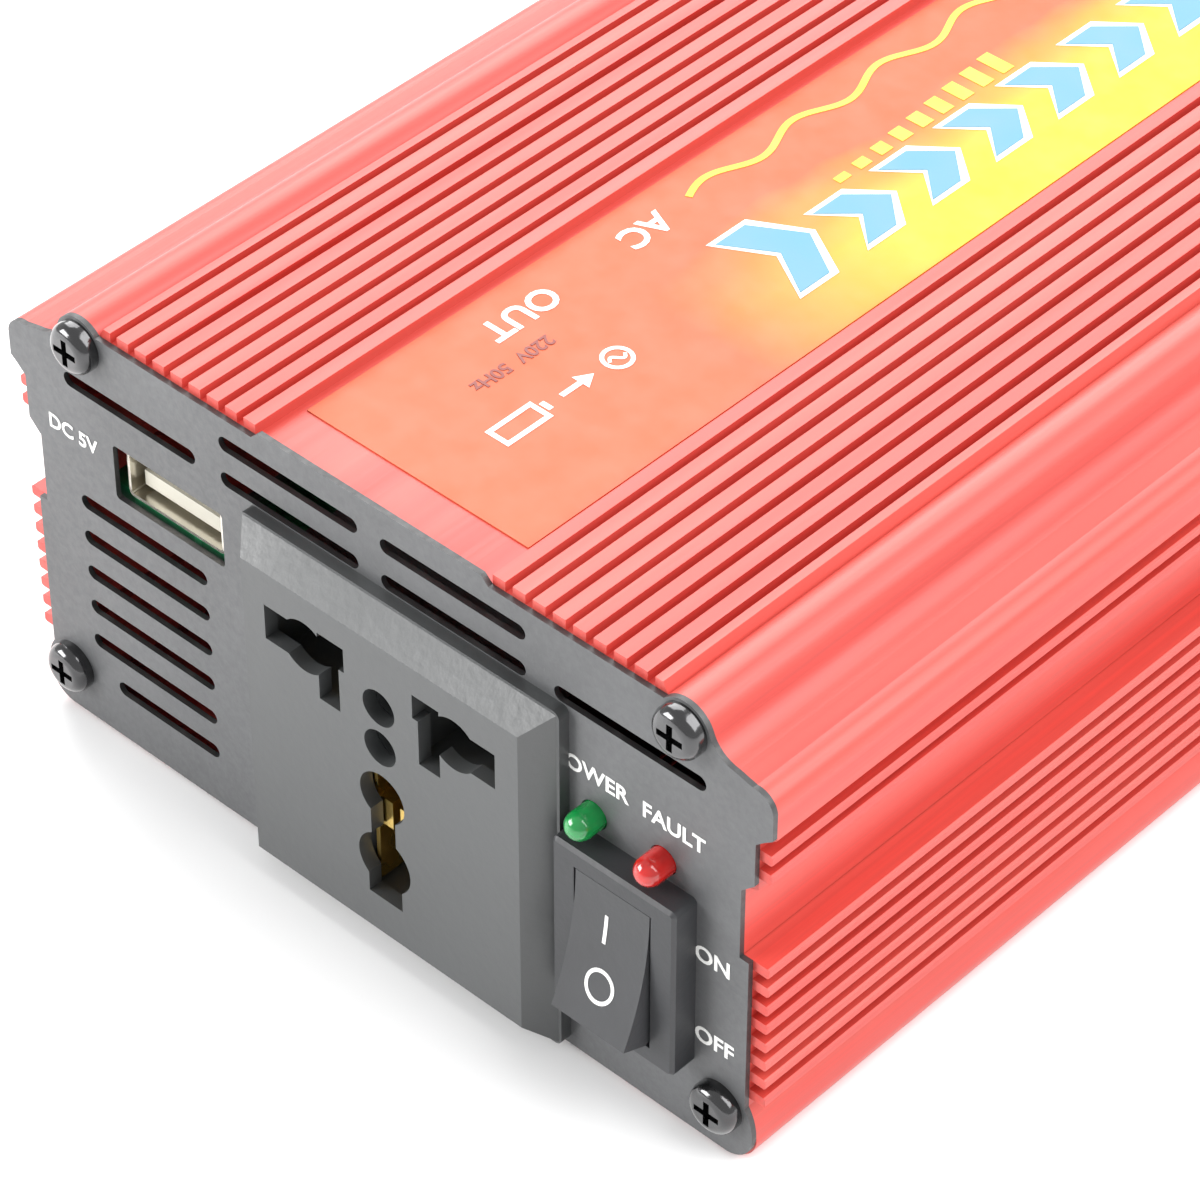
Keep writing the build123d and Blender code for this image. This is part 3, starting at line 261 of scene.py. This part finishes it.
def ribbed(name, colour, groove_shade, roughness, axis_scale, **sockets):
    """Wound wire or wrapped tape: bands across the axes that are scaled, with painted shade darkening the
    troughs between the bands.
    """
    material, tree, shader = start_material(name, **sockets)
    place = place_texture(tree, axis_scale)
    wave = add_node(tree, "TexWave", {"Vector": place, "Scale": 1.0, "Distortion": 0.6})
    height = wave.outputs["Fac"]
    # Painted shade: the colour darkens towards the troughs of the bands.
    tree.links.new(mix(tree, height, groove_shade, colour), shader.inputs["Base Color"])
    tree.links.new(remap(tree, height, roughness * 1.2, roughness, 0, 1), shader.inputs["Roughness"])
    bump(tree, shader, height, 0.2 * MM)
    return material


def circuit_board(name):
    """Green solder mask over faint tracks."""
    material, tree, shader = start_material(name, Coat_Weight=0.3, Coat_Roughness=0.2)
    cells = add_node(tree, "TexBrick", {
        "Vector": place_texture(tree), "Scale": 60.0, "Mortar Size": 0.03,
        "Color1": (0.01, 0.16, 0.06, 1), "Color2": (0.012, 0.2, 0.075, 1), "Mortar": (0.03, 0.3, 0.12, 1),
    })
    tree.links.new(cells.outputs["Color"], shader.inputs["Base Color"])
    mask = noise(tree, place_texture(tree), 500.0)
    tree.links.new(remap(tree, mask, 0.3, 0.45), shader.inputs["Roughness"])
    bump(tree, shader, cells.outputs["Fac"], 0.04 * MM)
    return material


def make_materials():
    """One material for each of the record's slots."""
    made = {
        "anodised_red": anodised_red("anodised_red"),
        "black_panel": panel_black("black_panel"),
        "label_film": label_film("label_film"),
        "green_lens": lens("green_lens", (0.01, 0.42, 0.09)),
        "red_lens": lens("red_lens", (0.8, 0.02, 0.015)),
        "copper": ribbed("copper", (0.75, 0.33, 0.14), (0.3, 0.1, 0.04), 0.35, (900, 900, 900), Metallic=0.9),
        "winding_tape": ribbed("winding_tape", (0.85, 0.6, 0.06), (0.6, 0.38, 0.03), 0.4, (0, 0, 700)),
        "circuit_board": circuit_board("circuit_board"),
    }
    # slot: colour, roughness, metallic
    plain = {
        "black_screws": ((0.045, 0.045, 0.047), 0.18, 0.9),
        "zinc_steel": ((0.6, 0.6, 0.57), 0.35, 1.0),
        "outlet_plastic": ((0.046, 0.049, 0.05), 0.46, 0.0),
        "brass": ((0.8, 0.56, 0.16), 0.28, 1.0),
        "plated_steel": ((0.74, 0.7, 0.62), 0.25, 1.0),
        "white_plastic": ((0.5, 0.48, 0.41), 0.45, 0.0),
        "chip_plastic": ((0.02, 0.02, 0.021), 0.55, 0.0),
        "switch_plastic": ((0.03, 0.031, 0.034), 0.45, 0.0),
        "rocker_plastic": ((0.035, 0.036, 0.039), 0.35, 0.0),
        "fan_plastic": ((0.022, 0.022, 0.023), 0.4, 0.0),
        "bush_plastic": ((0.02, 0.02, 0.022), 0.35, 0.0),
        "red_knob": ((0.62, 0.015, 0.012), 0.3, 0.0),
        "black_knob": ((0.018, 0.018, 0.019), 0.3, 0.0),
        "ferrite": ((0.06, 0.06, 0.062), 0.6, 0.0),
        "capacitor_sleeve": ((0.015, 0.02, 0.06), 0.3, 0.0),
        "fuse_plastic": ((0.8, 0.25, 0.02), 0.25, 0.0),
        "insulator": ((0.68, 0.65, 0.6), 0.6, 0.0),
        "bare_aluminium": ((0.72, 0.72, 0.73), 0.38, 1.0),
        "red_wire": ((0.6, 0.02, 0.015), 0.38, 0.0),
        "black_wire": ((0.018, 0.018, 0.019), 0.38, 0.0),
    }
    extra = {
        "black_screws": {"Coat_Weight": 1.0, "Coat_Roughness": 0.06},
        "outlet_plastic": {"Specular_IOR_Level": 0.95},
    }
    for slot, (colour, roughness, metallic) in plain.items():
        made[slot] = grained(slot, colour, roughness, Metallic=metallic, **extra.get(slot, {}))
    return made


def make_inks():
    """The marks' own materials, smoother than the parts they are printed on."""
    inks = {
        "white": ((0.8, 0.8, 0.78), 0.5),
        "dark": ((0.2, 0.03, 0.02), 0.4),
        "blue": ((0.1, 0.27, 0.38), 0.5),
        "yellow": ((0.72, 0.5, 0.03), 0.45),
    }
    return {name: grained("ink_" + name, colour, roughness, spread=0.05, grain=2500.0, depth=0.005 * MM)
            for name, (colour, roughness) in inks.items()}


def dress_nodes(materials):
    """Gives each CAD node the material of its slot."""
    for part in frame["record"]["subparts"]:
        slots = NODES[part["node"]].data.materials
        slots.clear()
        slots.append(materials[part["material_slot"]])


# ---- how a mark is made ----
def add_piece(name, mesh, material, body):
    """Links a mark, which moves with a body and wears the given material."""
    mesh.materials.clear()
    mesh.materials.append(material)
    piece = bpy.data.objects.new(name, mesh)
    bpy.context.scene.collection.objects.link(piece)
    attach(piece, body)


def curve_mesh(name, curve, place):
    """A curve's mesh, closed all round and put in place."""
    holder = bpy.data.objects.new(name + "_curve", curve)
    bpy.context.scene.collection.objects.link(holder)
    bpy.context.view_layer.update()
    mesh = bpy.data.meshes.new_from_object(holder.evaluated_get(bpy.context.evaluated_depsgraph_get()))
    bpy.data.objects.remove(holder)
    mesh.name = name
    mesh.transform(place)
    work = bmesh.new()
    work.from_mesh(mesh)
    bmesh.ops.remove_doubles(work, verts=work.verts, dist=WELD)
    bmesh.ops.recalc_face_normals(work, faces=work.faces)
    work.to_mesh(mesh)
    work.free()
    return mesh


def outline_curve(name, outlines):
    """Flat shapes, as thick as the ink, in millimetres; an outline inside another one is a hole."""
    curve = bpy.data.curves.new(name, "CURVE")
    curve.dimensions = "2D"
    curve.fill_mode = "BOTH"
    curve.extrude = INK / 2
    for points in outlines:
        spline = curve.splines.new("POLY")
        spline.points.add(len(points) - 1)
        for point, (x, y) in zip(spline.points, points):
            point.co = (x * MM, y * MM, 0, 1)
        spline.use_cyclic_u = True
    return curve


def text_curve(name, words, height):
    """Bold capitals of one height in millimetres, centred."""
    curve = bpy.data.curves.new(name, "FONT")
    curve.body = words
    curve.size = height * MM / CAP_HEIGHT
    curve.align_x = "CENTER"
    curve.align_y = "CENTER"
    curve.extrude = INK / 2
    curve.offset = BOLDNESS * height * MM
    curve.resolution_u = 4
    return curve


# ---- outlines, in millimetres ----
def circle(x, y, radius):
    turns = [2 * math.pi * i / CIRCLE_STEPS for i in range(CIRCLE_STEPS)]
    return [(x + radius * math.cos(turn), y + radius * math.sin(turn)) for turn in turns]


def ring(x, y, outer, inner):
    return [circle(x, y, outer), circle(x, y, inner)]


def bar(x, y, width, height):
    """A rectangle round (x, y), its long sides divided so that it can be draped."""
    ups = [y - height / 2 + height * i / BAR_STEPS for i in range(BAR_STEPS + 1)]
    return [(x + width / 2, up) for up in ups] + [(x - width / 2, up) for up in reversed(ups)]


def chevron(x, low, high, depth, stroke):
    """A chevron pointing along +x by its depth, with arms as wide as its stroke."""
    middle = (low + high) / 2
    return [(x, low), (x + stroke, low), (x + stroke + depth, middle), (x + stroke, high), (x, high),
            (x + depth, middle)]


def block_arrow(start, end, middle, stem_half, head_half, head):
    """An arrow from start to end, its head as long as head."""
    neck = end - head
    return [(start, middle - stem_half), (neck, middle - stem_half), (neck, middle - head_half),
            (end, middle), (neck, middle + head_half), (neck, middle + stem_half),
            (start, middle + stem_half)]


def wave_band(start, end, middle, height, length, width, steps):
    """A band of even width along a sine wave."""
    upper, lower = [], []
    for i in range(steps + 1):
        x = start + (end - start) * i / steps
        angle = 2 * math.pi * (x - start) / length
        slope = height * 2 * math.pi / length * math.cos(angle)
        y = middle + height * math.sin(angle)
        across = width / 2 / math.hypot(1, slope)
        upper.append((x - slope * across, y + across))
        lower.append((x + slope * across, y - across))
    return upper + lower[::-1]


# ---- where a mark lies ----
def on_front(x, z):
    """Flat on the front plate, right way up; x and z in metres."""
    return Matrix.Translation((x, FRONT_Y - INK / 2, z)) @ Matrix.Rotation(math.pi / 2, 4, "X")


def on_label(layer):
    """On the label, reading from front to rear, measured from the front plate and the label's middle line."""
    place = Vector((0, FRONT_Y, LABEL_HIGH[2] + INK * (0.5 + layer)))
    return Matrix.Translation(place) @ Matrix.Rotation(math.pi / 2, 4, "Z")


def on_label_from_rear(x, along):
    """On the label, reading from rear to front, centred at x and at a distance behind the front plate."""
    place = Vector((x * MM, FRONT_Y + along * MM, LABEL_HIGH[2] + INK / 2))
    return Matrix.Translation(place) @ Matrix.Rotation(-math.pi / 2, 4, "Z")


def drape(mesh, node):
    """Lays a mark on a node's curved face, which it meets along +Y."""
    tree = BVHTree.FromObject(NODES[node], bpy.context.evaluated_depsgraph_get())
    clear_of_part = cad_box[0][1] - 10 * MM
    middle = sum(vertex.co.y for vertex in mesh.vertices) / len(mesh.vertices)
    for vertex in mesh.vertices:
        hit = tree.ray_cast(Vector((vertex.co.x, clear_of_part, vertex.co.z)), Vector((0, 1, 0)))[0]
        vertex.co.y += hit.y - INK / 2 - middle


# ---- the marks ----
def add_front_marks(ink):
    """Plain words beside the switch, over the indicators and beside the USB port."""
    beside_switch = SWITCH_RIGHT + 2 * MM
    over_power = POWER_HIGH[2] + 2.9 * MM
    power_x = (POWER_LOW[0] + POWER_HIGH[0]) / 2
    fault_x = (FAULT_LOW[0] + FAULT_HIGH[0]) / 2
    for name, words, height, x, z in (
        ("mark_on", "ON", 1.9, beside_switch, 23.8 * MM),
        ("mark_off", "OFF", 1.9, beside_switch + 0.4 * MM, 13.5 * MM),
        ("mark_five_volts", "DC 5V", 1.7, USB_LOW[0] - 6.6 * MM, USB_HIGH[2] - 1.5 * MM),
        ("mark_power", "POWER", 1.8, power_x - 0.3 * MM, over_power),
        ("mark_fault", "FAULT", 1.8, fault_x + 1.2 * MM, over_power - 0.1 * MM),
    ):
        mesh = curve_mesh(name, text_curve(name, words, height), on_front(x, z))
        add_piece(name, mesh, ink, "case")


def add_rocker_marks(ink):
    """The bar and the ring of the switch's two sides, moving with the rocker."""
    low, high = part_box("switch_rocker")
    x = (low[0] + high[0]) / 2
    middle = (low[2] + high[2]) / 2
    for name, outlines, lift in (
        ("rocker_bar", [bar(-0.5, 0, 0.4, 3.2)], 3.4),
        ("rocker_ring", ring(0, 0, 1.75, 1.38), -2.6),
    ):
        mesh = curve_mesh(name, outline_curve(name, outlines), on_front(x, middle + lift * MM))
        drape(mesh, "switch_rocker")
        add_piece(name, mesh, ink, "switch_rocker")


def label_signs():
    """A battery, an arrow and the mains sign, in outline."""
    middle = SIGNS_MIDDLE
    battery = [bar(18, middle, 6.0, 3.0), bar(18, middle, 4.9, 1.9), bar(21.6, middle, 0.6, 1.3)]
    arrow = [block_arrow(23.6, 28.0, middle, 0.3, 1.1, 1.8)]
    mains = ring(31.2, middle, 1.7, 1.25) + [wave_band(30.2, 32.2, middle, 0.45, 2.0, 0.35, 24)]
    return battery + arrow + mains


def level_bars():
    """Bars that stand on one line and grow along a row."""
    foot, width, first, growth = 0.9, 1.7, 1.0, 0.32
    heights = [first + growth * i for i in range(LEVEL_COUNT)]
    return [bar(LEVEL_START + LEVEL_PITCH * i, foot + height / 2, width, height)
            for i, height in enumerate(heights)]


def add_label_art(white, dark, blue, yellow):
    """Chevrons, a sine wave, a row of levels and battery-to-mains signs, with plain output words."""
    rim = 0.6
    row = [(CHEVRON_START + CHEVRON_PITCH * i, -7.4, -0.4) for i in range(CHEVRON_COUNT)]
    chevrons = [(50, -7.6, 3.2), *row]
    rims = [chevron(x - rim, low - rim, high + rim, 3.4, 5.6) for x, low, high in chevrons]
    fills = [chevron(x + 0.1, low, high, 3.3, 4.2) for x, low, high in chevrons]
    wave = wave_band(54, 158, 10.2, 0.95, 13.0, 0.75, 220)
    for name, outlines, ink, layer in (
        ("label_chevron_rims", rims, white, 0),
        ("label_chevrons", fills, blue, 1),
        ("label_levels", level_bars(), yellow, 0),
        ("label_wave", [wave], yellow, 0),
        ("label_signs", label_signs(), white, 0),
    ):
        mesh = curve_mesh(name, outline_curve(name, outlines), on_label(layer))
        add_piece(name, mesh, ink, "case")
    for name, words, height, ink, x, along in (
        ("label_ac", "AC", 3.0, white, -9.8, 47.2),
        ("label_out", "OUT", 3.0, white, -9.6, 29.8),
        ("label_rating", "220V  50Hz", 1.5, dark, -5.0, 24.0),
    ):
        mesh = curve_mesh(name, text_curve(name, words, height), on_label_from_rear(x, along))
        add_piece(name, mesh, ink, "case")


# ---- studio ----
def make_camera():
    front = Vector((0, FRONT_Y, 0))
    place = front + CAMERA_FROM_PLATE
    data = bpy.data.cameras.new("camera")
    data.sensor_width = SENSOR_MM
    data.lens = LENS_MM
    camera = bpy.data.objects.new("camera", data)
    camera.location = place
    camera.rotation_euler = (front + TARGET_FROM_PLATE - place).to_track_quat("-Z", "Y").to_euler()
    bpy.context.scene.collection.objects.link(camera)
    bpy.context.scene.camera = camera


def add_light(name, place, size, power):
    """A soft rectangular light aimed at the middle of the part; size in metres, power in watts."""
    data = bpy.data.lights.new(name, "AREA")
    data.shape = "RECTANGLE"
    data.size, data.size_y = size
    data.energy = power
    light = bpy.data.objects.new(name, data)
    light.location = place
    light.rotation_euler = (Vector(LIGHT_AIM) - Vector(place)).to_track_quat("-Z", "Y").to_euler()
    bpy.context.scene.collection.objects.link(light)


def make_world():
    world = bpy.data.worlds.new("studio")
    world.use_nodes = True
    background = world.node_tree.nodes["Background"]
    background.inputs["Color"].default_value = (1, 1, 1, 1)
    background.inputs["Strength"].default_value = WORLD_STRENGTH
    bpy.context.scene.world = world
    bpy.context.scene.view_settings.view_transform = "Standard"


def make_floor():
    half = FLOOR_HALF
    corners = [(-half, -half, 0), (half, -half, 0), (half, half, 0), (-half, half, 0)]
    mesh = bpy.data.meshes.new("floor")
    mesh.from_pydata(corners, [], [(0, 1, 2, 3)])
    mesh.materials.append(grained("floor", (0.9, 0.9, 0.9), 0.6, spread=0.01, grain=200.0, depth=0.002 * MM))
    floor = bpy.data.objects.new("floor", mesh)
    floor.location.z = cad_box[0][2] - FLOOR_GAP
    bpy.context.scene.collection.objects.link(floor)


make_camera()
make_world()
add_light("back_left", (-0.75, 0.7, 0.85), (1.3, 1.0), 18.0)
add_light("right", (0.75, 0.3, 0.95), (1.1, 1.1), 20.0)
add_light("front_left", (-0.75, -0.85, 0.45), (0.7, 0.5), 14.0)
make_floor()
dress_nodes(make_materials())
inks = make_inks()
add_front_marks(inks["white"])
add_rocker_marks(inks["white"])
add_label_art(**inks)
